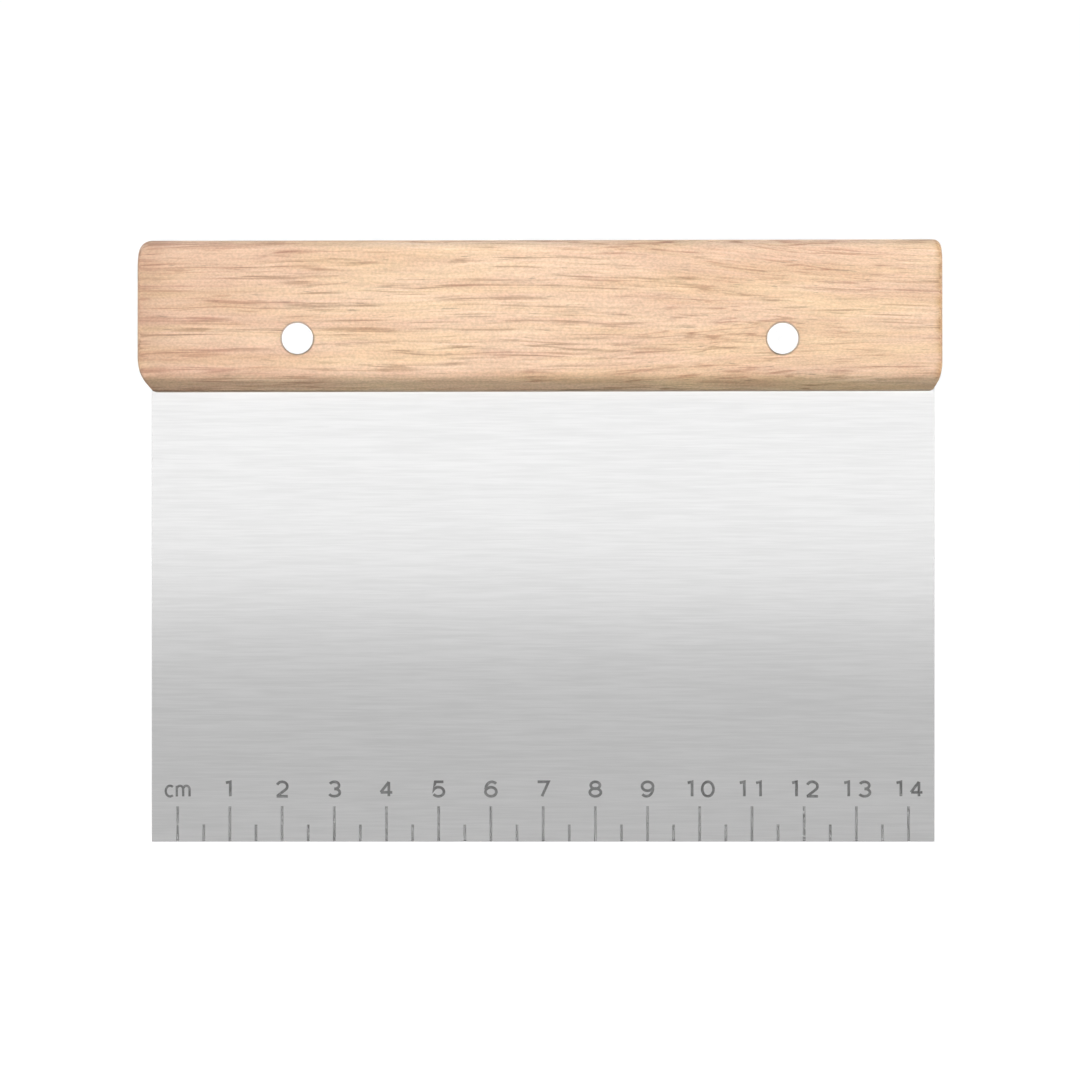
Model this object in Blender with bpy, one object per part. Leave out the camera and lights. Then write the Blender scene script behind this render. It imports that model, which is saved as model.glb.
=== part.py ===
"""Bench scraper for dough: a sheet steel blade in a slotted wooden handle, held by two rivets.

Units are metres. X runs along the handle, Y through its thickness, and Z points up.
The origin is under the middle of the handle, level with the blade's working edge.
The centimetre scale is etched on the side of the blade that faces -Y.

Each rivet is a pair, as in a knife handle: a barrel with a blind bore is pushed in from the
front, a pin is pressed into that bore from the back, and both heads end flush with the wood.
"""

import math

import bmesh
import bpy
from mathutils import Vector

# Blade: a plain rectangle of sheet steel.
BLADE_WIDTH = 0.150
BLADE_EXPOSED = 0.086
BLADE_TANG = 0.018
BLADE_THICKNESS = 0.0010
BLADE_OFFSET = 0.0006
EDGE_BREAK = 0.00015

# Handle: one block of hardwood, sawn open from below to take the blade's tang.
HANDLE_OVERHANG = 0.0014
HANDLE_HEIGHT = 0.029
HANDLE_THICKNESS = 0.018
TOP_ROUND = 0.0027
LOWER_CHAMFER = 0.0026
CHAMFER_SOFTNESS = 0.0020
SMALLEST_CHAMFER = 0.0006
END_ROUND = 0.0010
TOP_CORNER = 0.0020
END_CUT_LENGTH = 0.0023
END_CUT_HEIGHT = 0.0033
END_CUT_ROUND = 0.0060

# Rivets.
RIVET_SPACING = 0.092
RIVET_HEIGHT = 0.010
HEAD_DIAMETER = 0.0060
HEAD_HEIGHT = 0.0025
HEAD_BREAK = 0.0002
BARREL_DIAMETER = 0.0042
PIN_DIAMETER = 0.0026
BORE_FLOOR = 0.0010
PIN_POINT = 0.0004

# Scale etched along the working edge.
SCALE_PITCH = 0.010
SCALE_MARGIN = 0.004
LONG_TICK = 0.0068
HALF_TICK = 0.0033
TICK_WIDTH = 0.00044
FIGURE_BASE = 0.0084
FIGURE_HEIGHT = 0.00335
FIGURE_PITCH = 0.00315
FIGURE_STROKE = 0.00045
ETCH_DEPTH = 0.00005

# Clearances: sliding and seated pieces never share a face.
SLOT_GAP = 0.00015
SLOT_END_GAP = 0.0003
HEAD_GAP = 0.0002
BARREL_GAP = 0.00015
BORE_GAP = 0.0001
RIVET_END_GAP = 0.0003

# Smoothness of curved outlines.
CORNER_STEPS = 6
TURN_STEPS = 40
ARC_STEP_DEGREES = 20.0
CUT_MARGIN = 0.002
MERGE_DISTANCE = 0.000001
SMOOTH_LIMIT = math.radians(32)

HANDLE_LENGTH = BLADE_WIDTH + 2 * HANDLE_OVERHANG
HANDLE_BOTTOM = BLADE_EXPOSED
HANDLE_TOP = HANDLE_BOTTOM + HANDLE_HEIGHT
TANG_TOP = HANDLE_BOTTOM + BLADE_TANG
RIVET_LEVEL = HANDLE_BOTTOM + RIVET_HEIGHT
HEAD_SEAT = HANDLE_THICKNESS / 2 - HEAD_HEIGHT
BLADE_FACE = BLADE_THICKNESS / 2
SIDES = {"left": -1, "right": 1}


def clear_scene():
    for thing in list(bpy.data.objects):
        bpy.data.objects.remove(thing, do_unlink=True)


def make_material(name, colour, roughness, metallic):
    made = bpy.data.materials.new(name)
    made.use_nodes = True
    shader = made.node_tree.nodes["Principled BSDF"]
    shader.inputs["Base Color"].default_value = (*colour, 1.0)
    shader.inputs["Roughness"].default_value = roughness
    shader.inputs["Metallic"].default_value = metallic
    return made


def object_from_shape(name, shape):
    """Turn a bmesh into an object, smooth except at its sharp edges, and free the bmesh."""
    bmesh.ops.recalc_face_normals(shape, faces=shape.faces)
    mesh = bpy.data.meshes.new(name)
    shape.to_mesh(mesh)
    shape.free()
    mesh.shade_smooth()
    mesh.set_sharp_from_angle(angle=SMOOTH_LIMIT)
    made = bpy.data.objects.new(name, mesh)
    bpy.context.scene.collection.objects.link(made)
    return made


def add_loft(shape, rings, closed=False):
    """Join rings of points into a tube, closed on itself or capped at both ends."""
    loops = [[shape.verts.new(point) for point in ring] for ring in rings]
    pairs = list(zip(loops, loops[1:]))
    if closed:
        pairs.append((loops[-1], loops[0]))
    else:
        shape.faces.new(loops[0])
        shape.faces.new(loops[-1])
    for near, far in pairs:
        for this in range(len(near)):
            after = (this + 1) % len(near)
            shape.faces.new((near[this], near[after], far[after], far[this]))


def box_rings(low, high):
    """Return the two end rings of a box that a loft along X joins."""
    corners = ((low[1], low[2]), (high[1], low[2]), (high[1], high[2]), (low[1], high[2]))
    return [[Vector((x, y, z)) for y, z in corners] for x in (low[0], high[0])]


def arc(centre, across, up, start, end):
    """Return points on an elliptical arc from one angle to another, in degrees."""
    steps = max(2, round(abs(end - start) / ARC_STEP_DEGREES))
    points = []
    for step in range(steps + 1):
        angle = math.radians(start + (end - start) * step / steps)
        points.append((centre[0] + across * math.cos(angle), centre[1] + up * math.sin(angle)))
    return points


def cut(target, cutter, overlapping=False):
    """Subtract one object from another and keep the cutter as a hidden wire guide."""
    cutter.hide_render = True
    cutter.display_type = "WIRE"
    modifier = target.modifiers.new(cutter.name, "BOOLEAN")
    modifier.operation = "DIFFERENCE"
    modifier.solver = "EXACT"
    modifier.use_self = overlapping
    modifier.object = cutter


def turn(name, profile):
    """Turn a profile of (radius, height) points about Z. Both its ends lie on the axis."""
    shape = bmesh.new()
    points = [shape.verts.new((radius, 0.0, height)) for radius, height in profile]
    edges = [shape.edges.new(pair) for pair in zip(points, points[1:])]
    bmesh.ops.spin(shape, geom=points + edges, cent=(0, 0, 0), axis=(0, 0, 1),
                   angle=2 * math.pi, steps=TURN_STEPS, use_merge=True)
    bmesh.ops.remove_doubles(shape, verts=shape.verts, dist=MERGE_DISTANCE)
    return object_from_shape(name, shape)


def place_on_rivet_axis(piece, side, faces_front):
    """Stand a turned piece on a rivet's axis, its top facing the front or the back."""
    piece.location = (SIDES[side] * RIVET_SPACING / 2, 0.0, RIVET_LEVEL)
    piece.rotation_euler = (math.radians(90 if faces_front else -90), 0.0, 0.0)


def round_drop(distance, radius):
    """Return how far a rounded corner falls short of its edge, at a distance from the end."""
    if distance >= radius:
        return 0.0
    return radius - math.sqrt(radius ** 2 - (radius - distance) ** 2)


def end_cut_rise(distance):
    """Return how high the cut-off lower corner is above the underside, at a distance from the end.

    The cut is straight at first, then rounds off into the end of the handle.
    """
    slope = math.atan2(END_CUT_HEIGHT, END_CUT_LENGTH)
    rounded = END_CUT_ROUND * (1 - math.sin(slope))
    if distance >= rounded:
        return END_CUT_HEIGHT * max(0.0, 1 - distance / END_CUT_LENGTH)
    middle = END_CUT_HEIGHT * (1 - rounded / END_CUT_LENGTH) + END_CUT_ROUND * math.cos(slope)
    return middle - math.sqrt(END_CUT_ROUND ** 2 - (END_CUT_ROUND - distance) ** 2)


def handle_section(x, from_end):
    """Return the handle's outline at one station, smaller where the ends are worked off."""
    low = HANDLE_BOTTOM + end_cut_rise(from_end)
    high = HANDLE_TOP - round_drop(from_end, TOP_CORNER)
    half = HANDLE_THICKNESS / 2 - round_drop(from_end, END_ROUND)
    chamfer = max(SMALLEST_CHAMFER, HANDLE_BOTTOM + LOWER_CHAMFER - low)
    softness = CHAMFER_SOFTNESS * chamfer / LOWER_CHAMFER
    soft_middle = low + chamfer + softness * math.tan(math.radians(22.5))
    side = [(half - chamfer, low)]
    side += arc((half - softness, soft_middle), softness, softness, -45, 0)
    side += arc((half - TOP_ROUND, high - TOP_ROUND), TOP_ROUND, TOP_ROUND, 0, 90)
    outline = side + [(-y, z) for y, z in reversed(side)]
    return [Vector((x, y, z)) for y, z in outline]


def make_handle(wood):
    """Loft the block from end to end, saw its slot and bore its stepped rivet holes."""
    reach = max(END_ROUND, TOP_CORNER, END_CUT_LENGTH)
    turns = [math.pi / 2 * step / CORNER_STEPS for step in range(CORNER_STEPS + 1)]
    inset = [reach * (1 - math.cos(turn_angle)) for turn_angle in turns]
    rings = [handle_section(-HANDLE_LENGTH / 2 + distance, distance) for distance in inset]
    rings += [handle_section(HANDLE_LENGTH / 2 - distance, distance) for distance in reversed(inset)]
    shape = bmesh.new()
    add_loft(shape, rings)
    handle = object_from_shape("handle", shape)
    handle.data.materials.append(wood)

    shape = bmesh.new()
    half_slot = BLADE_FACE + SLOT_GAP
    low = (-HANDLE_LENGTH / 2 - CUT_MARGIN, -half_slot, HANDLE_BOTTOM - CUT_MARGIN)
    high = (HANDLE_LENGTH / 2 + CUT_MARGIN, half_slot, TANG_TOP + SLOT_END_GAP)
    add_loft(shape, box_rings(low, high))
    cut(handle, object_from_shape("slot_cutter", shape))

    hole = BARREL_DIAMETER / 2 + BARREL_GAP
    pocket = HEAD_DIAMETER / 2 + HEAD_GAP
    outside = HANDLE_THICKNESS / 2 + CUT_MARGIN
    seat = HEAD_SEAT - RIVET_END_GAP
    for side in SIDES:
        stepped = [(0, outside), (pocket, outside), (pocket, seat), (hole, seat)]
        stepped += [(radius, -height) for radius, height in reversed(stepped)]
        cutter = turn(side + "_rivet_hole_cutter", stepped)
        place_on_rivet_axis(cutter, side, True)
        cut(handle, cutter)
    return handle


def blade_section(x):
    """Return the blade's outline at one end: a thin rectangle with its working edge just broken."""
    side = [(BLADE_FACE - EDGE_BREAK, 0.0), (BLADE_FACE, EDGE_BREAK), (BLADE_FACE, TANG_TOP)]
    outline = side + [(-y, z) for y, z in reversed(side)]
    return [Vector((x, y, z)) for y, z in outline]


def figure_strokes():
    """Return the centre lines of each figure, one unit high and centred on x = 0.

    A stroke that ends where it begins is a closed loop.
    """
    six = [arc((0.0, 0.31), 0.33, 0.31, 0, 360), arc((0.06, 0.42), 0.39, 0.58, 176, 50)]
    letter_height = 0.70
    m_left, m_arch = -0.01, 0.185
    unit = [arc((-0.52, letter_height / 2), 0.215, letter_height / 2, 50, 310)]
    unit.append([(m_left, 0.0), (m_left, letter_height)])
    for number in range(2):
        middle = m_left + (2 * number + 1) * m_arch
        unit.append(arc((middle, 0.48), m_arch, letter_height - 0.48, 180, 0) + [(middle + m_arch, 0.0)])
    return {
        "cm": unit,
        "0": [arc((0.0, 0.5), 0.33, 0.5, 0, 360)],
        "1": [[(-0.23, 0.93), (0.0, 1.0), (0.0, 0.0)]],
        "2": [arc((0.0, 0.69), 0.31, 0.31, 160, -42) + [(-0.30, 0.0)], [(-0.33, 0.0), (0.34, 0.0)]],
        "3": [arc((0.0, 0.75), 0.29, 0.25, 155, -90), arc((0.0, 0.26), 0.33, 0.26, 90, -155)],
        "4": [[(0.13, 0.0), (0.13, 1.0)], [(0.13, 1.0), (-0.34, 0.27)], [(-0.34, 0.27), (0.34, 0.27)]],
        "5": [[(0.29, 1.0), (-0.21, 1.0), (-0.27, 0.5)] + arc((-0.02, 0.31), 0.33, 0.32, 130, -150)],
        "6": six,
        "7": [[(-0.33, 1.0), (0.32, 1.0), (-0.06, 0.0)]],
        "8": [arc((0.0, 0.76), 0.28, 0.24, 0, 360), arc((0.0, 0.27), 0.33, 0.27, 0, 360)],
        "9": [[(-x, 1.0 - z) for x, z in stroke] for stroke in six],
    }


def ribbon_rings(line, closed, y_front, y_back):
    """Return the rings of a flat bar that follows a line on the blade's face, mitred at its bends."""
    rings = []
    count = len(line)
    for this, point in enumerate(line):
        before = line[(this - 1) % count] if closed or this else None
        after = line[(this + 1) % count] if closed or this < count - 1 else None
        arriving = (point - before).normalized() if before else (after - point).normalized()
        leaving = (after - point).normalized() if after else arriving
        along = (arriving + leaving).normalized()
        across = Vector((-along.y, along.x)) * (FIGURE_STROKE / 2 / along.dot(leaving))
        one, other = point + across, point - across
        rings.append([Vector((side.x, y, side.y)) for side, y in
                      ((one, y_front), (other, y_front), (other, y_back), (one, y_back))])
    return rings


def add_figure(shape, strokes, x, y_front, y_back):
    """Add one figure, centred on x, to the shape that engraves the scale."""
    height = FIGURE_HEIGHT - FIGURE_STROKE
    base = FIGURE_BASE + FIGURE_STROKE / 2
    for stroke in strokes:
        line = [Vector((x + height * across, base + height * up)) for across, up in stroke]
        closed = (line[0] - line[-1]).length < FIGURE_STROKE / 10
        if closed:
            line.pop()
        add_loft(shape, ribbon_rings(line, closed, y_front, y_back), closed)


def make_scale_cutter():
    """Make the ticks and figures that are etched along the working edge."""
    y_front, y_back = -BLADE_FACE - CUT_MARGIN, -BLADE_FACE + ETCH_DEPTH
    marks = math.floor((BLADE_WIDTH - 2 * SCALE_MARGIN) / SCALE_PITCH)
    start = BLADE_OFFSET - marks * SCALE_PITCH / 2
    figures = figure_strokes()
    shape = bmesh.new()
    for half_step in range(2 * marks + 1):
        x = start + half_step * SCALE_PITCH / 2
        whole = half_step % 2 == 0
        low = (x - TICK_WIDTH / 2, y_front, -CUT_MARGIN)
        high = (x + TICK_WIDTH / 2, y_back, LONG_TICK if whole else HALF_TICK)
        add_loft(shape, box_rings(low, high))
        if whole:
            label = list(str(half_step // 2)) if half_step else ["cm"]
            for place, name in enumerate(label):
                middle = x + (place - (len(label) - 1) / 2) * FIGURE_PITCH
                add_figure(shape, figures[name], middle, y_front, y_back)
    return object_from_shape("scale_cutter", shape)


def make_blade(steel):
    """Make the sheet, punch its two rivet holes and etch its scale."""
    shape = bmesh.new()
    add_loft(shape, [blade_section(BLADE_OFFSET + end * BLADE_WIDTH / 2) for end in (-1, 1)])
    blade = object_from_shape("blade", shape)
    blade.data.materials.append(steel)
    radius = BARREL_DIAMETER / 2 + BARREL_GAP
    reach = BLADE_FACE + CUT_MARGIN
    punch = [(0, reach), (radius, reach), (radius, -reach), (0, -reach)]
    for side in SIDES:
        cutter = turn(side + "_blade_hole_cutter", punch)
        place_on_rivet_axis(cutter, side, True)
        cut(blade, cutter)
    cut(blade, make_scale_cutter(), overlapping=True)
    return blade


def head_profile():
    """Return the outside of a rivet head, from the middle of its face to its seat."""
    face, radius = HANDLE_THICKNESS / 2, HEAD_DIAMETER / 2
    return [(0, face), (radius - HEAD_BREAK, face), (radius, face - HEAD_BREAK), (radius, HEAD_SEAT)]


def make_rivet(side, metal):
    """Make a barrel that enters from the front and a pin that enters from the back."""
    barrel, pin = BARREL_DIAMETER / 2, PIN_DIAMETER / 2
    barrel_end = -HEAD_SEAT + RIVET_END_GAP
    bore_floor = HEAD_SEAT - BORE_FLOOR
    bore = pin + BORE_GAP
    profile = head_profile() + [(barrel, HEAD_SEAT), (barrel, barrel_end), (bore, barrel_end)]
    profile += [(bore, bore_floor), (0, bore_floor)]
    front = turn(side + "_rivet_barrel", profile)
    place_on_rivet_axis(front, side, True)

    pin_end = -bore_floor + RIVET_END_GAP
    profile = head_profile() + [(pin, HEAD_SEAT), (pin, pin_end + PIN_POINT)]
    profile += [(pin - PIN_POINT, pin_end), (0, pin_end)]
    back = turn(side + "_rivet_pin", profile)
    place_on_rivet_axis(back, side, False)
    for half in (front, back):
        half.data.materials.append(metal)


def main():
    clear_scene()
    wood = make_material("wood", (0.76, 0.53, 0.36), 0.55, 0.0)
    steel = make_material("brushed_steel", (0.62, 0.62, 0.62), 0.32, 1.0)
    aluminium = make_material("aluminium", (0.91, 0.91, 0.90), 0.22, 1.0)
    make_handle(wood)
    make_blade(steel)
    for side in SIDES:
        make_rivet(side, aluminium)


main()
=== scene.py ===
import math

import bmesh
import bpy
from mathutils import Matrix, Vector


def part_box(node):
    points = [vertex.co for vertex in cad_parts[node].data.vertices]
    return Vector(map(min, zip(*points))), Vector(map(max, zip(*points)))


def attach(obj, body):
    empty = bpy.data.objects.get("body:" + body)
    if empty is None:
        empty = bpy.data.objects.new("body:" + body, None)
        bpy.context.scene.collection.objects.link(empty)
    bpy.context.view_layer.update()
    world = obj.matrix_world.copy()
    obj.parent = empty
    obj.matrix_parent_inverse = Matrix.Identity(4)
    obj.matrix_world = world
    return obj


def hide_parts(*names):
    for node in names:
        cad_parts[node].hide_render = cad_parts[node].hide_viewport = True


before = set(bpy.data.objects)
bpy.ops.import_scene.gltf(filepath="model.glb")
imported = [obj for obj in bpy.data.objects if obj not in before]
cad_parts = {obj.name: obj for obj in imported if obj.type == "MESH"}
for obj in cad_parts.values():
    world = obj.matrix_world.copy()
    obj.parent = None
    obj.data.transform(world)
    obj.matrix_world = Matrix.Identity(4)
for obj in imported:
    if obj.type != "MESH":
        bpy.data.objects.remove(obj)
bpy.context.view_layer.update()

# Places and sizes that the CAD model already has.
HANDLE_LOW, HANDLE_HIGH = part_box("handle")
BLADE_LOW, BLADE_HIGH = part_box("blade")
BARREL_LOW, BARREL_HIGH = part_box("right_rivet_barrel")
RIVET_X = (BARREL_LOW.x + BARREL_HIGH.x) / 2
RIVET_Z = (BARREL_LOW.z + BARREL_HIGH.z) / 2
HEAD_RADIUS = (BARREL_HIGH.x - BARREL_LOW.x) / 2
HALF_DEPTH = HANDLE_HIGH.y
BLADE_FACE = BLADE_HIGH.y
BLADE_MIDDLE = (BLADE_LOW.x + BLADE_HIGH.x) / 2
SIDES = {"left": -1, "right": 1}

# How the handle was worked by hand: its two ends aren't quite alike, and it sits a touch askew.
WOOD_LOW = HANDLE_LOW.z + 0.00020
WOOD_HIGH = HANDLE_HIGH.z - 0.00017
TOP_ROUND = 0.0027
LOWER_CHAMFER = 0.00248
CHAMFER_DEPTH = 0.0028
UPPER_SOFTNESS = 0.0026
LOWER_SOFTNESS = 0.0005
SMALLEST_CHAMFER = 0.0005
CUT_SOFTNESS = 0.00012
END_ROUND = 0.0010
END_CROWN = 0.0015  # how much shorter the top and the underside are than the middle, as a share
HANDLE_TILT = 0.0019  # how far the handle rises for each metre to the right, in metres

# The top corner's radius at each end, and the length, height and rounding of the lower corner's cut.
ENDS = {
    "left": {"top": 0.0026, "length": 0.00270, "height": 0.0036, "round": 0.0075},
    "right": {"top": 0.0017, "length": 0.00155, "height": 0.0031, "round": 0.0080},
}
END_STEPS = 20
END_REACH = 1.3  # close rings reach this many times as far in as the longest shape at the end
HANDLE_SMOOTH_DEGREES = 30
SLOT_GAP = 0.00007
SLOT_TOP_GAP = 0.0003
HOLE_GAP = 0.00018

# Rivets.
HEAD_HEIGHT = 0.0025
HEAD_ROUND = 0.00012
BARREL_RADIUS = 0.0021
PIN_RADIUS = 0.0013
PIN_POINT = 0.0004
BORE_FLOOR = 0.0010
BORE_GAP = 0.00005
PIN_END_GAP = 0.0003
RIVET_SMOOTH_DEGREES = 40

# Blade: its eased edges, and the scale etched along its working edge.
EDGE_ROUND = 0.00015
SCALE_MARKS = 14
SCALE_PITCH = 0.010
LONG_TICK = 0.0068
HALF_TICK = 0.0033
TICK_WIDTH = 0.00052
FIGURE_BASE = 0.00845
FIGURE_HEIGHT = 0.00330
FIGURE_PITCH = 0.0031
FIGURE_STROKE = 0.00053
LETTER_STROKE = 0.00045
ETCH_DEPTH = 0.00004
UV_SCALE = 10.0

# Smoothness of curved outlines, and other values that several pieces share.
ARC_STEP_DEGREES = 10.0
EDGE_STEP_DEGREES = 15
FINE_STEP_DEGREES = 7.5
TURN_STEPS = 96
MERGE_DISTANCE = 0.000001
CUT_MARGIN = 0.002
MILLIMETRE = 0.001

# The camera stands level in front of the tool, opposite the middle of the view.
CAMERA_DISTANCE = 0.800
CAMERA_HEIGHT = 0.0578
VIEW_WIDTH = 0.2070
SENSOR_WIDTH = 36.0

# Wood: two base colours, and the tints that its features and its painted shade multiply them by.
WOOD_CREAM = (0.838, 0.604, 0.408)
WOOD_PINK = (0.768, 0.522, 0.354)
WOOD_TAN = (0.985, 0.982, 0.900)
WOOD_HALO = (0.93, 0.86, 0.86)
WOOD_LINE = (0.60, 0.525, 0.475)
WOOD_RED = (0.66, 0.51, 0.49)
# Dulls the grain, and also paints the shade round the rivets.
WOOD_DULL_AND_SHADE = (0.60, 0.60, 0.60)
WOOD_LIGHT = (1.05, 1.09, 1.12)
WOOD_LEFT_THIRD = (0.95, 0.94, 0.94)
WOOD_BY_LEFT_END = (0.87, 0.84, 0.82)
WOOD_LEFT_END = (0.84, 0.85, 0.86)
WOOD_RIGHT_END = (0.76, 0.66, 0.50)
# Painted shade for the top and the underside.
WOOD_TOP_SHADE = (0.81, 0.85, 0.90)
WOOD_UNDERSIDE_SHADE = (0.96, 1.00, 0.96)

# How far along its board the handle was cut, in millimetres, which sets its figure.
BOARD_PLACE = 3000.0

# How light the etched marks are.
TICK_TONE = 0.245
FIGURE_TONE = 0.145

# Light: how bright each surface of the studio is, where 1.0 shows as white.
SURROUND = 0.08
BACKDROP = 1.02
LOWER_RADIANCE = 0.745
UPPER_RADIANCE = 1.45
RIVET_RADIANCE = 1.13
SIDE_RADIANCE = 0.40
SIDE_KEY_RADIANCE = 4.0
KEY_RADIANCE = 8.5

# Where the lights hang: how far out, how far to each side of the middle, and between which heights.
PANEL_AWAY = 0.100
PANEL_HALF_WIDTH = 0.9
PANEL_LOW = -0.6
PANEL_EDGE = 0.043
PANEL_HIGH = 0.6
SIDE_HALF_WIDTH = 0.5
SIDE_PANEL_LOW = -0.4
SIDE_PANEL_HIGH = 0.8
KEY_AWAY = 1.0
KEY_LOW = 0.225
KEY_HIGH = 0.625
FLOOR_REACH = 12.0
FLOOR_GAP = 0.00002


# ---------------------------------------------------------------- meshes

def object_from_shape(name, shape):
    """Turn a bmesh into an object and free the bmesh."""
    bmesh.ops.recalc_face_normals(shape, faces=shape.faces)
    mesh = bpy.data.meshes.new(name)
    shape.to_mesh(mesh)
    shape.free()
    made = bpy.data.objects.new(name, mesh)
    bpy.context.scene.collection.objects.link(made)
    return made


def add_loft(shape, rings, closed=False):
    """Join rings of points into a tube, closed on itself or capped at both ends."""
    loops = [[shape.verts.new(point) for point in ring] for ring in rings]
    pairs = list(zip(loops, loops[1:]))
    if closed:
        pairs.append((loops[-1], loops[0]))
    else:
        shape.faces.new(loops[0])
        shape.faces.new(loops[-1])
    for near, far in pairs:
        for this in range(len(near)):
            after = (this + 1) % len(near)
            shape.faces.new((near[this], near[after], far[after], far[this]))


def box_rings(low, high):
    """Return the two end rings of a box that a loft along X joins."""
    corners = ((low[1], low[2]), (high[1], low[2]), (high[1], high[2]), (low[1], high[2]))
    return [[Vector((x, y, z)) for y, z in corners] for x in (low[0], high[0])]


def arc(centre, across, up, start, end, step_degrees=ARC_STEP_DEGREES):
    """Return points on an elliptical arc from one angle to another, in degrees."""
    steps = max(2, round(abs(end - start) / step_degrees))
    points = []
    for step in range(steps + 1):
        angle = math.radians(start + (end - start) * step / steps)
        points.append((centre[0] + across * math.cos(angle), centre[1] + up * math.sin(angle)))
    return points


def turn(name, profile):
    """Turn a profile of (radius, height) points about Z. Both its ends lie on the axis."""
    shape = bmesh.new()
    points = [shape.verts.new((radius, 0.0, height)) for radius, height in profile]
    edges = [shape.edges.new(pair) for pair in zip(points, points[1:])]
    bmesh.ops.spin(shape, geom=points + edges, cent=(0, 0, 0), axis=(0, 0, 1),
                   angle=2 * math.pi, steps=TURN_STEPS, use_merge=True)
    bmesh.ops.remove_doubles(shape, verts=shape.verts, dist=MERGE_DISTANCE)
    return object_from_shape(name, shape)


def cut(target, cutters):
    """Subtract objects from another, keep the result as its mesh and remove the cutters."""
    for cutter in cutters:
        modifier = target.modifiers.new(cutter.name, "BOOLEAN")
        modifier.operation = "DIFFERENCE"
        modifier.solver = "EXACT"
        modifier.use_self = True
        modifier.object = cutter
    graph = bpy.context.evaluated_depsgraph_get()
    mesh = bpy.data.meshes.new_from_object(target.evaluated_get(graph))
    target.modifiers.clear()
    target.data = mesh
    mesh.name = target.name
    for cutter in cutters:
        bpy.data.objects.remove(cutter, do_unlink=True)


def smooth(piece, degrees):
    """Shade a piece smooth up to an angle, with its flat faces kept flat."""
    piece.data.shade_smooth()
    piece.data.set_sharp_from_angle(angle=math.radians(degrees))
    weighted = piece.modifiers.new("flat_faces", "WEIGHTED_NORMAL")
    weighted.keep_sharp = True


# ---------------------------------------------------------------- material nodes

class Nodes:
    """The node tree of one new material, with short ways to add and link its nodes."""

    def __init__(self, name):
        self.material = bpy.data.materials.new(name)
        self.material.use_nodes = True
        self.tree = self.material.node_tree
        self.shader = self.tree.nodes["Principled BSDF"]

    def put(self, socket, value):
        """Set a socket to a constant, or link it to another node's output."""
        if isinstance(value, bpy.types.NodeSocket):
            self.tree.links.new(value, socket)
        elif isinstance(value, tuple) and len(value) == 3 and socket.type == "RGBA":
            socket.default_value = (*value, 1.0)
        else:
            socket.default_value = value

    def add(self, kind, inputs=None, **settings):
        """Add a node, change its settings and fill its inputs, which are given by name or number."""
        node = self.tree.nodes.new(kind)
        for name, value in settings.items():
            setattr(node, name, value)
        for name, value in (inputs or {}).items():
            self.put(node.inputs[name], value)
        return node

    def math(self, operation, first, second=0.0, third=0.0, clamp=False):
        inputs = {0: first, 1: second, 2: third}
        return self.add("ShaderNodeMath", inputs, operation=operation, use_clamp=clamp).outputs[0]

    def ramp(self, value, low, high, to_low=0.0, to_high=1.0):
        """Ease a value from to_low to to_high as it goes from low to high."""
        inputs = {"Value": value, "From Min": low, "From Max": high, "To Min": to_low, "To Max": to_high}
        return self.add("ShaderNodeMapRange", inputs, interpolation_type="SMOOTHSTEP").outputs["Result"]

    def mix(self, share, first, second, blend="MIX"):
        node = self.add("ShaderNodeMix", data_type="RGBA", blend_type=blend)
        self.put(node.inputs[0], share)
        self.put(node.inputs[6], first)
        self.put(node.inputs[7], second)
        return node.outputs[2]

    def tint(self, colour, share, factor):
        """Multiply a share of a colour by a factor for each of its channels."""
        return self.mix(share, colour, factor, "MULTIPLY")

    def join(self, x, y, z):
        return self.add("ShaderNodeCombineXYZ", {"X": x, "Y": y, "Z": z}).outputs[0]

    def grey(self, tone):
        return self.join(tone, tone, tone)

    def place(self):
        """Return the X, Y and Z of a point on the object, in millimetres."""
        coordinates = self.add("ShaderNodeTexCoord").outputs["Object"]
        scaled = self.add("ShaderNodeVectorMath", {0: coordinates, "Scale": 1 / MILLIMETRE},
                          operation="SCALE")
        return self.add("ShaderNodeSeparateXYZ", {0: scaled.outputs[0]}).outputs

    def rivet_radius(self, x, z):
        """Return the distance of a point from the axis of the nearer rivet, in millimetres."""
        aside = self.math("SUBTRACT", self.math("ABSOLUTE", x), RIVET_X / MILLIMETRE)
        upward = self.math("SUBTRACT", z, RIVET_Z / MILLIMETRE)
        spoke = self.join(aside, 0.0, upward)
        return self.add("ShaderNodeVectorMath", {0: spoke}, operation="LENGTH").outputs["Value"]

    def noise(self, point, stretch, detail=2.0, roughness=0.5, offset=0.0):
        """Return noise at a point, after each coordinate is multiplied by its stretch."""
        scaled = self.add("ShaderNodeVectorMath", {0: point, 1: stretch, 2: (offset, offset, offset)},
                          operation="MULTIPLY_ADD").outputs[0]
        inputs = {"Vector": scaled, "Scale": 1.0, "Detail": detail, "Roughness": roughness}
        return self.add("ShaderNodeTexNoise", inputs).outputs["Fac"]

    def surface(self, **inputs):
        """Fill the shader's inputs, whose names have _ for each space, and return the material."""
        for name, value in inputs.items():
            self.put(self.shader.inputs[name.replace("_", " ")], value)
        return self.material


# ---------------------------------------------------------------- materials

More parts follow.
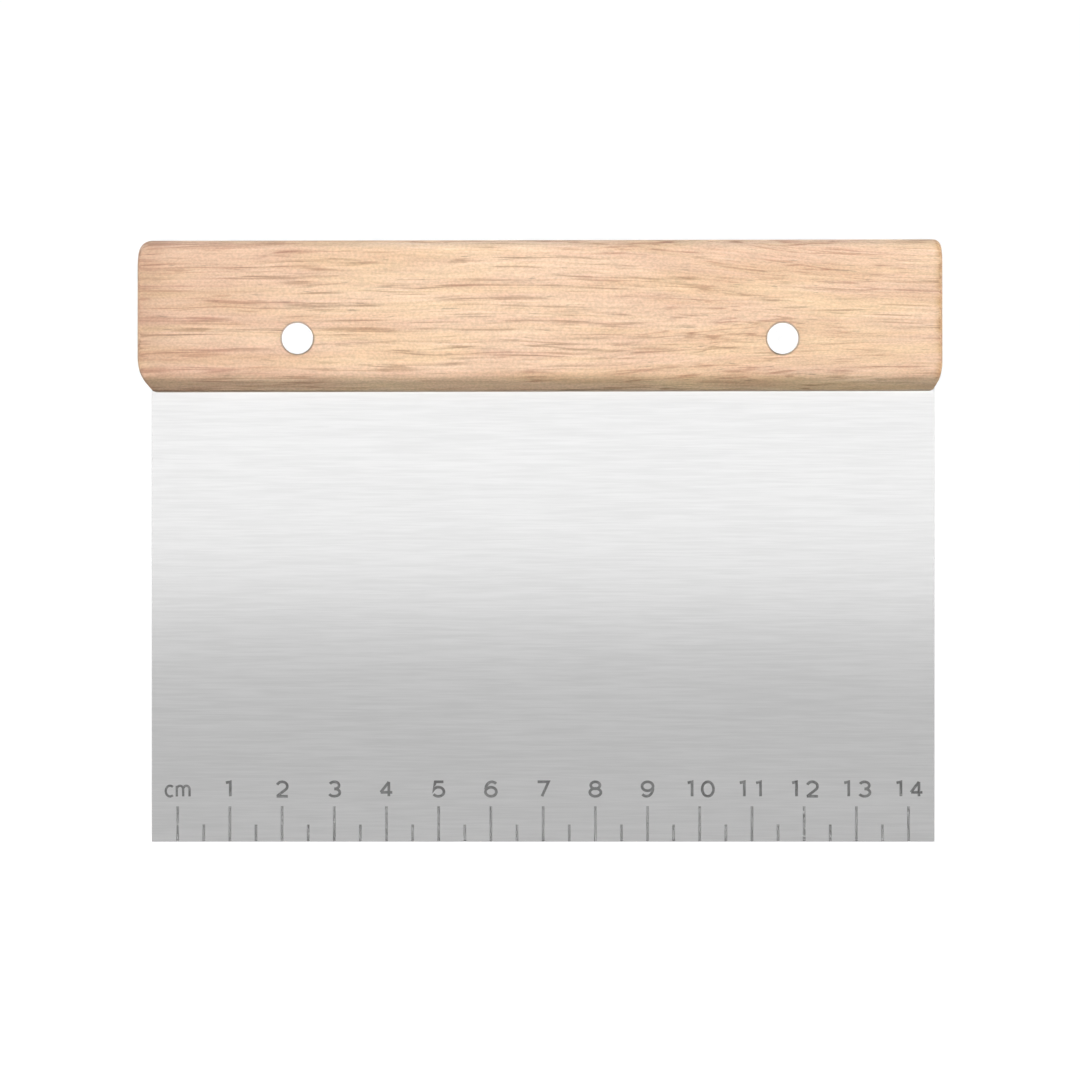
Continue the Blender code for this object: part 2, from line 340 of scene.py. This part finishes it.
def wood_material():
    """Pale close-grained hardwood: cream with pink bands, fine fibres and thin brown vessel lines."""
    n = Nodes("handle_wood")
    x, y, z = n.place()

    # The grain closes up towards the right end, about a level just under the middle, and wanders
    # gently along its length.
    middle = (HANDLE_LOW.z + HANDLE_HIGH.z) / 2 / MILLIMETRE - 2.0
    closing = n.ramp(x, 0.0, 85.0, 1.0, 1.40)
    drift = n.noise(n.join(x, y, z), (0.035, 0.05, 0.09), 1.0)
    wander = n.math("MULTIPLY", n.math("SUBTRACT", drift, 0.5), 2.4)
    height = n.math("MULTIPLY_ADD", n.math("SUBTRACT", z, middle), closing, wander)
    depth = n.math("MULTIPLY_ADD", y, closing, wander)
    point = n.join(n.math("ADD", x, BOARD_PLACE), depth, height)

    # Broad cream, pink and tan patches, pinker and darker towards the left end.
    patches = n.noise(point, (0.030, 0.16, 0.16), 3.0, 0.55)
    pinkness = n.math("ADD", n.ramp(patches, 0.36, 0.66), n.ramp(x, -75.0, -20.0, 0.45, 0.0), clamp=True)
    colour = n.mix(pinkness, WOOD_CREAM, WOOD_PINK)
    colour = n.tint(colour, n.ramp(x, -75.0, -25.0, 1.0, 0.0), WOOD_LEFT_THIRD)
    colour = n.tint(colour, n.ramp(x, -76.0, -66.0, 1.0, 0.0), WOOD_BY_LEFT_END)
    tan = n.noise(point, (0.028, 0.24, 0.24), 2.0, 0.5, 73.0)
    colour = n.tint(colour, n.ramp(tan, 0.40, 0.62), WOOD_TAN)
    bands = n.noise(point, (0.014, 0.50, 0.50), 3.0, 0.6, 7.0)
    colour = n.tint(colour, n.ramp(bands, 0.46, 0.70, 0.0, 0.7), WOOD_HALO)

    # Fibres: long fine streaks, and the short grain between them.
    fibres = n.noise(point, (0.09, 2.2, 2.2), 2.0, 0.55, 3.0)
    grain = n.noise(point, (1.9, 2.9, 2.9), 1.0, 0.5, 17.0)
    colour = n.tint(colour, n.ramp(fibres, 0.28, 0.58, 0.22, 0.0), WOOD_LINE)
    colour = n.tint(colour, n.ramp(fibres, 0.52, 0.74, 0.0, 0.8), WOOD_LIGHT)
    colour = n.tint(colour, n.ramp(grain, 0.25, 0.75, 0.42, 0.0), WOOD_DULL_AND_SHADE)

    # Vessel lines: thin strokes that fade in and out along the grain, each in a pink band.
    contours = n.noise(point, (0.016, 0.85, 0.85), 2.0, 0.4, 41.0)
    crossing = n.math("ABSOLUTE", n.math("SUBTRACT", contours, 0.5))
    fading = n.noise(point, (0.075, 0.75, 0.75), 2.0, 0.5, 53.0)
    more_left = n.ramp(x, -70.0, -25.0, 0.07, 0.0)
    shown = n.math("ADD", fading, more_left)
    vessels = n.math("MULTIPLY", n.ramp(crossing, 0.055, 0.010), n.ramp(shown, 0.44, 0.64))
    halo = n.math("MULTIPLY", n.ramp(crossing, 0.16, 0.02), n.ramp(shown, 0.40, 0.60))
    strokes = n.noise(point, (0.10, 2.3, 2.3), 1.0, 0.4, 21.0)
    dashes = n.math("MULTIPLY", n.ramp(strokes, 0.575, 0.70), n.ramp(fading, 0.38, 0.60, 0.30, 1.0))
    short_strokes = n.noise(point, (0.26, 2.3, 2.3), 1.0, 0.4, 33.0)
    dark_dashes = n.ramp(short_strokes, 0.69, 0.80)
    colour = n.tint(colour, n.math("MULTIPLY", halo, 0.55), WOOD_HALO)
    stain = n.mix(n.ramp(patches, 0.44, 0.56), WOOD_LINE, WOOD_RED)
    colour = n.tint(colour, n.math("MULTIPLY", vessels, 0.68), stain)
    colour = n.tint(colour, n.math("MULTIPLY", dashes, 0.56), stain)
    colour = n.tint(colour, n.math("MULTIPLY", dark_dashes, 0.8), WOOD_DULL_AND_SHADE)

    # Painted shade: a dark ring on the wood just outside each rivet's hole, where the gap round the rivet
    # falls in shadow.
    hole_edge = (HEAD_RADIUS + HOLE_GAP) / MILLIMETRE
    shade_ring_width = 0.16
    rivet_gap_shade = n.ramp(n.rivet_radius(x, z), hole_edge + shade_ring_width, hole_edge, 0.0, 0.75)
    # Painted shade round the rivets.
    colour = n.tint(colour, rivet_gap_shade, WOOD_DULL_AND_SHADE)

    # The sawn ends are darker, with the vessels' open mouths, and the right one is browned in patches.
    # Painted shade: the top and the underside are darkened a little, more the further they face up or
    # down.
    normal = n.add("ShaderNodeTexCoord").outputs["Normal"]
    along, across, upward = n.add("ShaderNodeSeparateXYZ", {0: normal}).outputs
    mouths = n.noise(n.join(n.math("MULTIPLY", x, 0.6), depth, height), (1.6, 2.6, 2.6), 2.0, 0.6, 61.0)
    right_end, left_end = n.ramp(along, 0.03, 0.30), n.ramp(along, -0.35, -0.85)
    worn = n.noise(n.join(0.0, y, z), (1.0, 0.35, 0.35), 2.0, 0.6, 87.0)
    beside_end = n.math("MAXIMUM", right_end, n.ramp(x, 74.3, 75.6, 0.0, 0.65))
    browned = n.math("MULTIPLY", beside_end, n.ramp(worn, 0.38, 0.62, 0.35, 1.0))
    colour = n.tint(colour, browned, WOOD_RIGHT_END)
    colour = n.tint(colour, left_end, WOOD_LEFT_END)
    ends = n.math("MAXIMUM", right_end, left_end)
    open_mouths = n.math("MULTIPLY", ends, n.ramp(mouths, 0.56, 0.70))
    colour = n.tint(colour, n.math("MULTIPLY", open_mouths, 0.7), WOOD_LINE)
    # Painted shade on the top, and then on the underside.
    colour = n.tint(colour, n.ramp(upward, 0.20, 0.80), WOOD_TOP_SHADE)
    colour = n.tint(colour, n.ramp(upward, -0.20, -0.70), WOOD_UNDERSIDE_SHADE)

    pits = n.math("ADD", n.math("ADD", vessels, dashes), n.math("ADD", dark_dashes, open_mouths))
    relief = n.math("MULTIPLY_ADD", fibres, 0.3, n.math("MULTIPLY", pits, -0.6))
    bump = n.add("ShaderNodeBump", {"Height": relief, "Strength": 0.35, "Distance": 0.00005})
    roughness = n.math("MULTIPLY_ADD", fibres, 0.12, n.math("MULTIPLY_ADD", pits, 0.08, 0.46))
    return n.surface(Base_Color=colour, Roughness=roughness, Normal=bump.outputs[0],
                     Specular_IOR_Level=0.35)


def steel_material():
    """Stainless sheet with fine brushing along its width."""
    n = Nodes("blade_steel")
    x, y, z = n.place()
    point = n.join(x, y, z)
    lines = n.noise(point, (0.075, 0.8, 2.0), 2.0, 0.5)
    hairs = n.noise(point, (0.16, 0.8, 4.4), 1.0, 0.5, 5.0)
    broad = n.noise(point, (0.006, 0.3, 0.40), 2.0, 0.5, 9.0)
    brushing = n.math("ADD", n.math("MULTIPLY", lines, 0.6), n.math("MULTIPLY", hairs, 0.4))
    streaks = n.ramp(brushing, 0.30, 0.70, -0.028, 0.028)
    tone = n.math("ADD", n.math("ADD", streaks, n.ramp(broad, 0.3, 0.7, -0.004, 0.004)), 0.62)
    roughness = n.ramp(brushing, 0.25, 0.75, 0.28, 0.30)
    bump = n.add("ShaderNodeBump", {"Height": brushing, "Strength": 0.03, "Distance": 0.00002})
    tangent = n.add("ShaderNodeTangent", direction_type="UV_MAP", uv_map="brushing").outputs[0]
    return n.surface(Base_Color=n.grey(tone), Metallic=1.0, Roughness=roughness,
                     Normal=bump.outputs[0], Anisotropic=0.25, Anisotropic_Rotation=0.25, Tangent=tangent)


def etched_material(name, tone):
    """Frosted grey metal inside an etched mark."""
    n = Nodes(name)
    x, y, z = n.place()
    grain = n.noise(n.join(x, y, z), (3.0, 3.0, 9.0), 2.0, 0.6)
    shade = n.math("MULTIPLY", n.ramp(grain, 0.3, 0.7, 0.96, 1.04), tone)
    return n.surface(Base_Color=n.grey(shade), Metallic=0.25, Roughness=0.62)


def rivet_material():
    """Polished aluminium with faint turning rings about each rivet's axis."""
    n = Nodes("rivet_metal")
    x, y, z = n.place()
    rings = n.noise(n.join(n.rivet_radius(x, z), 0.0, 0.0), (9.0, 1.0, 1.0), 3.0, 0.6)
    blotches = n.noise(n.join(x, y, z), (0.8, 0.8, 0.8), 2.0, 0.5, 4.0)
    tone = n.math("ADD", n.ramp(rings, 0.3, 0.7, 0.89, 0.93), n.ramp(blotches, 0.3, 0.7, -0.01, 0.01))
    roughness = n.ramp(rings, 0.25, 0.75, 0.20, 0.28)
    bump = n.add("ShaderNodeBump", {"Height": rings, "Strength": 0.08, "Distance": 0.00002})
    return n.surface(Base_Color=n.grey(tone), Metallic=1.0, Roughness=roughness,
                     Normal=bump.outputs[0])


def floor_material():
    """Plain pale studio surface."""
    n = Nodes("studio_floor")
    return n.surface(Base_Color=(0.90, 0.90, 0.90), Roughness=0.8, Specular_IOR_Level=0.0,
                     Emission_Color=(1.0, 1.0, 1.0), Emission_Strength=1.0)


# ---------------------------------------------------------------- handle

def round_drop(distance, radius):
    """Return how far a rounded corner falls short of its edge, at a distance from the end."""
    if distance >= radius:
        return 0.0
    return radius - math.sqrt(radius ** 2 - (radius - distance) ** 2)


def end_cut_rise(distance, end):
    """Return how high the cut-off lower corner is above the underside, at a distance from the end.

    The cut is straight at first, then rounds off into the end of the handle.
    """
    slope = math.atan2(end["height"], end["length"])
    rounded = end["round"] * (1 - math.sin(slope))
    if distance < rounded:
        middle = end["height"] * (1 - rounded / end["length"]) + end["round"] * math.cos(slope)
        return middle - math.sqrt(end["round"] ** 2 - (end["round"] - distance) ** 2)
    line = end["height"] * (1 - distance / end["length"])
    return (line + math.hypot(line, CUT_SOFTNESS)) / 2


def handle_section(x, from_end, end):
    """Return the handle's outline at one station, smaller where the ends are worked off."""
    low = WOOD_LOW + end_cut_rise(from_end, end)
    high = WOOD_HIGH - round_drop(from_end, end["top"])
    half = HALF_DEPTH - round_drop(from_end, END_ROUND)
    height = max(SMALLEST_CHAMFER, WOOD_LOW + LOWER_CHAMFER - low)
    scale = height / LOWER_CHAMFER
    depth = CHAMFER_DEPTH * scale
    slope = math.degrees(math.atan2(height, depth))
    upper, lower = UPPER_SOFTNESS * scale, LOWER_SOFTNESS * scale
    lean = math.radians(90 - slope) / 2
    bend = math.radians(slope) / 2
    side = arc((half - depth - lower * math.tan(bend), low + lower), lower, lower,
               -90, slope - 90, EDGE_STEP_DEGREES)
    side += arc((half - upper, low + height + upper * math.tan(lean)), upper, upper,
                slope - 90, 0, FINE_STEP_DEGREES)
    side += arc((half - TOP_ROUND, high - TOP_ROUND), TOP_ROUND, TOP_ROUND, 0, 90, FINE_STEP_DEGREES)
    outline = side + [(-y, z) for y, z in reversed(side)]
    middle, half_height = (WOOD_LOW + WOOD_HIGH) / 2, (WOOD_HIGH - WOOD_LOW) / 2
    return [Vector((x * (1 - END_CROWN * ((z - middle) / half_height) ** 2), y, z + HANDLE_TILT * x))
            for y, z in outline]


def make_handle(wood):
    """Loft the block from end to end, saw its slot and bore its stepped rivet holes."""
    rings = []
    for name, sign in SIDES.items():
        end = ENDS[name]
        reach = max(END_ROUND, end["top"], end["length"]) * END_REACH
        turns = [math.pi / 2 * step / END_STEPS for step in range(END_STEPS + 1)]
        stations = [reach * (1 - math.cos(angle)) for angle in turns]
        made = [handle_section(sign * (HANDLE_HIGH.x - distance), distance, end) for distance in stations]
        rings += made if sign < 0 else made[::-1]
    shape = bmesh.new()
    add_loft(shape, rings)
    handle = object_from_shape("handle_block", shape)

    shape = bmesh.new()
    half_slot = BLADE_FACE + SLOT_GAP
    low = (HANDLE_LOW.x - CUT_MARGIN, -half_slot, HANDLE_LOW.z - CUT_MARGIN)
    high = (HANDLE_HIGH.x + CUT_MARGIN, half_slot, BLADE_HIGH.z + SLOT_TOP_GAP)
    add_loft(shape, box_rings(low, high))
    cutters = [object_from_shape("slot_cutter", shape)]
    pocket, hole = HEAD_RADIUS + HOLE_GAP, BARREL_RADIUS + HOLE_GAP
    outside, seat = HALF_DEPTH + CUT_MARGIN, HALF_DEPTH - HEAD_HEIGHT - HOLE_GAP
    stepped = [(0, outside), (pocket, outside), (pocket, seat), (hole, seat)]
    stepped += [(radius, -height) for radius, height in reversed(stepped)]
    for side in SIDES:
        cutter = turn(side + "_hole_cutter", stepped)
        place_on_rivet_axis(cutter, side, True)
        cutters.append(cutter)
    bpy.context.view_layer.update()
    cut(handle, cutters)
    smooth(handle, HANDLE_SMOOTH_DEGREES)
    handle.data.materials.append(wood)
    return handle


# ---------------------------------------------------------------- blade

def figure_strokes():
    """Return the centre lines of each figure, one unit high and centred on x = 0.

    A stroke that ends where it begins is a closed loop.
    """
    six = [arc((0.0, 0.31), 0.38, 0.31, 0, 360), arc((0.07, 0.42), 0.45, 0.58, 176, 50)]
    letter_height = 0.72
    m_left, m_arch = -0.06, 0.215
    unit = [arc((-0.51, letter_height / 2), 0.29, letter_height / 2, 50, 310)]
    unit.append([(m_left, 0.0), (m_left, letter_height)])
    for number in range(2):
        middle = m_left + (2 * number + 1) * m_arch
        unit.append(arc((middle, 0.47), m_arch, letter_height - 0.47, 180, 0) + [(middle + m_arch, 0.0)])
    return {
        "cm": unit,
        "0": [arc((0.0, 0.5), 0.39, 0.5, 0, 360)],
        "1": [[(-0.28, 0.93), (0.03, 1.0), (0.03, 0.0)]],
        "2": [arc((0.0, 0.69), 0.36, 0.31, 160, -42) + [(-0.35, 0.0)], [(-0.38, 0.0), (0.40, 0.0)]],
        "3": [arc((0.0, 0.75), 0.33, 0.25, 155, -90), arc((0.0, 0.26), 0.38, 0.26, 90, -155)],
        "4": [[(0.16, 0.0), (0.16, 1.0)], [(0.16, 1.0), (-0.40, 0.27)], [(-0.40, 0.27), (0.40, 0.27)]],
        "5": [[(0.33, 1.0), (-0.24, 1.0), (-0.31, 0.5)] + arc((-0.02, 0.31), 0.38, 0.32, 130, -150)],
        "6": six,
        "7": [[(-0.38, 1.0), (0.37, 1.0), (-0.08, 0.0)]],
        "8": [arc((0.0, 0.76), 0.32, 0.24, 0, 360), arc((0.0, 0.27), 0.38, 0.27, 0, 360)],
        "9": [[(-x, 1.0 - z) for x, z in stroke] for stroke in six],
    }


def ribbon_rings(line, closed, width, y_front, y_back):
    """Return the rings of a flat bar that follows a line on the blade's face, mitred at its bends."""
    rings = []
    count = len(line)
    for this, point in enumerate(line):
        before = line[(this - 1) % count] if closed or this else None
        after = line[(this + 1) % count] if closed or this < count - 1 else None
        arriving = (point - before).normalized() if before else (after - point).normalized()
        leaving = (after - point).normalized() if after else arriving
        along = (arriving + leaving).normalized()
        across = Vector((-along.y, along.x)) * (width / 2 / along.dot(leaving))
        one, other = point + across, point - across
        rings.append([Vector((side.x, y, side.y)) for side, y in
                      ((one, y_front), (other, y_front), (other, y_back), (one, y_back))])
    return rings


def add_figure(shape, strokes, x, width, y_front, y_back):
    """Add one figure, centred on x, to the shape that engraves the scale."""
    height = FIGURE_HEIGHT - width
    base = FIGURE_BASE + width / 2
    for stroke in strokes:
        line = [Vector((x + height * across, base + height * up)) for across, up in stroke]
        closed = (line[0] - line[-1]).length < width / 10
        if closed:
            line.pop()
        add_loft(shape, ribbon_rings(line, closed, width, y_front, y_back), closed)


def make_scale_cutter():
    """Make the ticks and figures that are etched along the working edge."""
    y_front, y_back = -BLADE_FACE - CUT_MARGIN, -BLADE_FACE + ETCH_DEPTH
    start = BLADE_MIDDLE - SCALE_MARKS * SCALE_PITCH / 2
    figures = figure_strokes()
    shape = bmesh.new()
    for half_step in range(2 * SCALE_MARKS + 1):
        x = start + half_step * SCALE_PITCH / 2
        whole = half_step % 2 == 0
        low = (x - TICK_WIDTH / 2, y_front, -CUT_MARGIN)
        high = (x + TICK_WIDTH / 2, y_back, LONG_TICK if whole else HALF_TICK)
        add_loft(shape, box_rings(low, high))
        if whole:
            label = list(str(half_step // 2)) if half_step else ["cm"]
            width = FIGURE_STROKE if half_step else LETTER_STROKE
            for place, name in enumerate(label):
                middle = x + (place - (len(label) - 1) / 2) * FIGURE_PITCH
                add_figure(shape, figures[name], middle, width, y_front, y_back)
    return object_from_shape("scale_cutter", shape)


def mark_etched_faces(mesh):
    """Give the floors and walls of the etched marks their own materials."""
    for face in mesh.polygons:
        depth = face.center.y + BLADE_FACE
        inside = BLADE_LOW.x + MILLIMETRE < face.center.x < BLADE_HIGH.x - MILLIMETRE
        floor = face.normal.y < -0.99 and depth > ETCH_DEPTH / 2
        wall = abs(face.normal.y) < 0.1 and 0 < depth < ETCH_DEPTH and face.center.z > EDGE_ROUND
        if inside and (floor or wall) and face.center.z < FIGURE_BASE + FIGURE_HEIGHT + MILLIMETRE:
            face.material_index = 1 if face.center.z < LONG_TICK + MILLIMETRE / 2 else 2


def lay_brushing(mesh):
    """Lay a UV map whose U runs along the brushing, and up the sheared ends of the sheet."""
    layer = mesh.uv_layers.new(name="brushing")
    for face in mesh.polygons:
        at_end = abs(face.normal.x) > 0.7
        for loop in face.loop_indices:
            place = mesh.vertices[mesh.loops[loop].vertex_index].co * UV_SCALE
            layer.data[loop].uv = (place.z, place.y) if at_end else (place.x, place.z + place.y)


def make_blade(steel, tick, figure):
    """Make the sheet with eased edges, punch its rivet holes and etch its scale."""
    shape = bmesh.new()
    add_loft(shape, box_rings(BLADE_LOW, BLADE_HIGH))
    bmesh.ops.recalc_face_normals(shape, faces=shape.faces)
    bmesh.ops.bevel(shape, geom=shape.edges, offset=EDGE_ROUND, segments=3, profile=0.5, affect="EDGES")
    blade = object_from_shape("blade_sheet", shape)
    reach, radius = BLADE_FACE + CUT_MARGIN, BARREL_RADIUS + HOLE_GAP
    cutters = [make_scale_cutter()]
    for side in SIDES:
        cutter = turn(side + "_punch", [(0, reach), (radius, reach), (radius, -reach), (0, -reach)])
        place_on_rivet_axis(cutter, side, True)
        cutters.append(cutter)
    bpy.context.view_layer.update()
    cut(blade, cutters)
    blade.data.materials.clear()
    for material in (steel, tick, figure):
        blade.data.materials.append(material)
    mark_etched_faces(blade.data)
    lay_brushing(blade.data)
    blade.data.shade_flat()
    return blade


# ---------------------------------------------------------------- rivets

def place_on_rivet_axis(piece, side, faces_front):
    """Stand a turned piece on a rivet's axis, its top facing the front or the back."""
    piece.location = (SIDES[side] * RIVET_X, 0.0, RIVET_Z)
    piece.rotation_euler = (math.radians(90 if faces_front else -90), 0.0, 0.0)


def head_profile():
    """Return the outside of a rivet head, from the middle of its face to its seat."""
    edge = arc((HEAD_RADIUS - HEAD_ROUND, HALF_DEPTH - HEAD_ROUND), HEAD_ROUND, HEAD_ROUND,
               90, 0, EDGE_STEP_DEGREES)
    rings = [(HEAD_RADIUS * share, HALF_DEPTH) for share in (0, 0.3, 0.6, 0.85)]
    return rings + edge + [(HEAD_RADIUS, HALF_DEPTH - HEAD_HEIGHT)]


def make_rivet(side, metal):
    """Make the barrel that enters from the front and the pin that enters from the back."""
    seat = HALF_DEPTH - HEAD_HEIGHT
    bore_floor = seat - BORE_FLOOR
    bore = PIN_RADIUS + BORE_GAP
    barrel = head_profile() + [(BARREL_RADIUS, seat), (BARREL_RADIUS, -seat + HOLE_GAP)]
    barrel += [(bore, -seat + HOLE_GAP), (bore, bore_floor), (0, bore_floor)]
    pin_end = -bore_floor + PIN_END_GAP
    pin = head_profile() + [(PIN_RADIUS, seat)]
    pin += arc((PIN_RADIUS - PIN_POINT, pin_end + PIN_POINT), PIN_POINT, PIN_POINT,
               0, -90, EDGE_STEP_DEGREES)
    pin.append((0, pin_end))
    pieces = []
    for name, profile, faces_front in (("barrel", barrel, True), ("pin", pin, False)):
        piece = turn(side + "_rivet_" + name + "_turned", profile)
        place_on_rivet_axis(piece, side, faces_front)
        bpy.context.view_layer.update()
        piece.data.transform(piece.matrix_world)
        piece.matrix_world.identity()
        smooth(piece, RIVET_SMOOTH_DEGREES)
        piece.data.materials.append(metal)
        pieces.append((piece, side + "_rivet_" + name))
    return pieces


# ---------------------------------------------------------------- studio

def add_softbox(name, half_width, bottom, top, place, radiance, sees, receivers, blockers):
    """Hang an upright rectangular light that shines on its receivers and is shaded by its blockers.

    Its middle is at place, an (x, y), and it faces the Z axis. The camera doesn't see it. It adds
    only to the kind of reflection that sees names, which is "diffuse" or "glossy".
    """
    light = bpy.data.lights.new(name, "AREA")
    light.shape = "RECTANGLE"
    light.size, light.size_y = 2 * half_width, top - bottom
    light.energy = radiance * math.pi * light.size * light.size_y
    lamp = bpy.data.objects.new(name, light)
    bpy.context.scene.collection.objects.link(lamp)
    lamp.location = (place[0], place[1], (bottom + top) / 2)
    lamp.rotation_euler = Vector((-place[0], -place[1], 0.0)).to_track_quat("-Z", "Z").to_euler()
    lamp.visible_camera = False
    lamp.visible_diffuse = sees == "diffuse"
    lamp.visible_glossy = sees == "glossy"
    lamp.light_linking.receiver_collection = receivers
    lamp.light_linking.blocker_collection = blockers


def make_world():
    """White behind the object for the camera, and a dim even surround that fills the shadows."""
    world = bpy.data.worlds.new("studio")
    bpy.context.scene.world = world
    world.use_nodes = True
    tree = world.node_tree
    tree.nodes.clear()
    add, link = tree.nodes.new, tree.links.new
    surround, backdrop = add("ShaderNodeBackground"), add("ShaderNodeBackground")
    surround.inputs["Strength"].default_value = SURROUND
    backdrop.inputs["Strength"].default_value = BACKDROP
    for shader in (surround, backdrop):
        shader.inputs["Color"].default_value = (1.0, 1.0, 1.0, 1.0)
    seen, mixed = add("ShaderNodeLightPath"), add("ShaderNodeMixShader")
    link(seen.outputs["Is Camera Ray"], mixed.inputs[0])
    link(surround.outputs[0], mixed.inputs[1])
    link(backdrop.outputs[0], mixed.inputs[2])
    link(mixed.outputs[0], add("ShaderNodeOutputWorld").inputs["Surface"])


def make_floor():
    """Lay a wide floor just under the working edge, hidden from the rays that would light the tool."""
    shape = bmesh.new()
    bmesh.ops.create_grid(shape, x_segments=8, y_segments=8, size=FLOOR_REACH)
    floor = object_from_shape("studio_floor", shape)
    floor.data.materials.append(floor_material())
    floor.location.z = BLADE_LOW.z - FLOOR_GAP
    floor.visible_diffuse = False
    floor.visible_glossy = False


def make_camera():
    """Look straight at the front of the tool."""
    data = bpy.data.cameras.new("camera")
    data.sensor_width = SENSOR_WIDTH
    data.lens = SENSOR_WIDTH * CAMERA_DISTANCE / VIEW_WIDTH
    camera = bpy.data.objects.new("camera", data)
    bpy.context.scene.collection.objects.link(camera)
    camera.location = (0.0, -CAMERA_DISTANCE, CAMERA_HEIGHT)
    camera.rotation_euler = (math.radians(90), 0.0, 0.0)
    bpy.context.scene.camera = camera


def gather(name, pieces):
    """Return a collection of pieces that a light can be linked to."""
    group = bpy.data.collections.new(name)
    for piece in pieces:
        group.objects.link(piece)
    return group


def make_studio(handle, blade, rivets):
    """Light the front and the back alike, and the two ends more dimly."""
    tool, sheet = gather("lit_tool", [handle, blade, *rivets]), gather("lit_sheet", [blade])
    broad, heads = gather("lit_broad", [handle, blade]), gather("lit_rivets", rivets)
    for name, sign in (("front", -1), ("back", 1)):
        # Near panels that the metal mirrors: the bright ones reach down to the middle of the blade.
        # The handle doesn't shade them, so that the sheet is evenly bright right up to it.
        near = (0.0, sign * PANEL_AWAY)
        for panel, bottom, radiance, receivers in (
                ("_white_panel", PANEL_LOW, LOWER_RADIANCE - SURROUND, tool),
                ("_bright_panel", PANEL_EDGE, UPPER_RADIANCE - LOWER_RADIANCE, broad),
                ("_rivet_panel", PANEL_EDGE, RIVET_RADIANCE - LOWER_RADIANCE, heads)):
            add_softbox(name + panel, PANEL_HALF_WIDTH, bottom, PANEL_HIGH, near,
                        radiance, "glossy", receivers, sheet)
        # A broad box above the tool lights the wood.
        add_softbox(name + "_key", PANEL_HALF_WIDTH, KEY_LOW, KEY_HIGH, (0.0, sign * KEY_AWAY),
                    KEY_RADIANCE, "diffuse", tool, tool)
    for name, sign in SIDES.items():
        away = (sign * KEY_AWAY, 0.0)
        add_softbox(name + "_side_panel", SIDE_HALF_WIDTH, SIDE_PANEL_LOW, SIDE_PANEL_HIGH, away,
                    SIDE_RADIANCE, "glossy", tool, sheet)
        add_softbox(name + "_side_key", SIDE_HALF_WIDTH, KEY_LOW, KEY_HIGH, away,
                    SIDE_KEY_RADIANCE, "diffuse", tool, tool)


# ---------------------------------------------------------------- assembly

wood = wood_material()
metal = rivet_material()
handle = make_handle(wood)
tick, figure = etched_material("etched_tick", TICK_TONE), etched_material("etched_figure", FIGURE_TONE)
blade = make_blade(steel_material(), tick, figure)
made = [(handle, "handle"), (blade, "blade")]
rivets = []
for side_name in SIDES:
    halves = make_rivet(side_name, metal)
    made += halves
    rivets += [piece for piece, node in halves]
for piece, node in made:
    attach(piece, "root")
    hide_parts(node)

make_world()
make_floor()
make_camera()
make_studio(handle, blade, rivets)
bpy.context.scene.view_settings.view_transform = "Standard"
